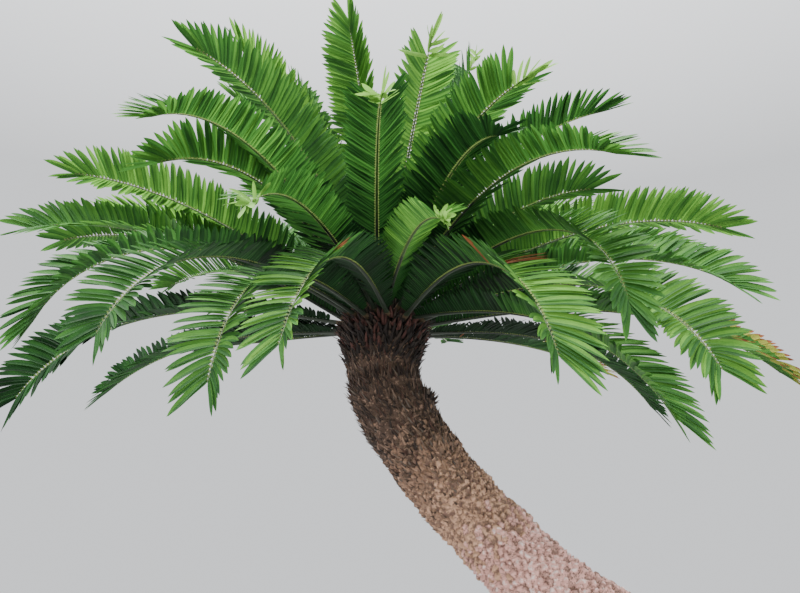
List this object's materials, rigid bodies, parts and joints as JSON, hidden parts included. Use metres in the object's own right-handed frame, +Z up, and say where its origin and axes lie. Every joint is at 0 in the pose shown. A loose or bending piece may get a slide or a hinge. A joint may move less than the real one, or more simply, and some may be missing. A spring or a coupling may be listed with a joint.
{
  "type": "bread palm",
  "caption": "Bread palm in a plain round pot: a leaning trunk armoured with old leaf bases, a collar of dry scales and a full crown of arching feather fronds.",
  "frame": {"origin": "Middle of the pot's flat underside, on the floor.", "axes": "+Z up; +X to the right and +Y away for someone who faces the plant as the picture does; the trunk leans towards -X."},
  "size_m": [4.0528, 3.9199, 4.7745],
  "materials": {
    "pot": "matte",
    "soil": "matte",
    "trunk": "matte",
    "crown_head": "matte",
    "collar": "matte",
    "offset_bud": "matte",
    "frond_young": "satin",
    "frond_grown": "satin",
    "frond_old": "satin"
  },
  "bodies": {
    "root": {"pot": "pot", "soil": "soil", "trunk": "trunk", "crown_head": "crown_head", "collar": "collar", "offset_bud_right": "offset_bud", "offset_bud_left": "offset_bud", "frond_01": "frond_young", "frond_02": "frond_young", "frond_03": "frond_young", "frond_04": "frond_young", "frond_05": "frond_young", "frond_06": "frond_young", "frond_07": "frond_young", "frond_08": "frond_young", "frond_09": "frond_young", "frond_10": "frond_young", "frond_11": "frond_young", "frond_12": "frond_young", "frond_13": "frond_young", "frond_14": "frond_young", "frond_15": "frond_young", "frond_16": "frond_young", "frond_17": "frond_grown", "frond_18": "frond_grown", "frond_19": "frond_grown", "frond_20": "frond_grown", "frond_21": "frond_grown", "frond_22": "frond_grown", "frond_23": "frond_grown", "frond_24": "frond_grown", "frond_25": "frond_grown", "frond_26": "frond_grown", "frond_27": "frond_grown", "frond_28": "frond_grown", "frond_29": "frond_grown", "frond_30": "frond_grown", "frond_31": "frond_grown", "frond_32": "frond_grown", "frond_33": "frond_grown", "frond_34": "frond_grown", "frond_35": "frond_grown", "frond_36": "frond_grown", "frond_37": "frond_old", "frond_38": "frond_old", "frond_39": "frond_old", "frond_40": "frond_old", "frond_41": "frond_old", "frond_42": "frond_old", "frond_43": "frond_old", "frond_44": "frond_old", "frond_45": "frond_old", "frond_46": "frond_old", "frond_47": "frond_old", "frond_48": "frond_old", "frond_49": "frond_old", "frond_50": "frond_old", "frond_51": "frond_old", "frond_52": "frond_old"}
  },
  "joints": []
}
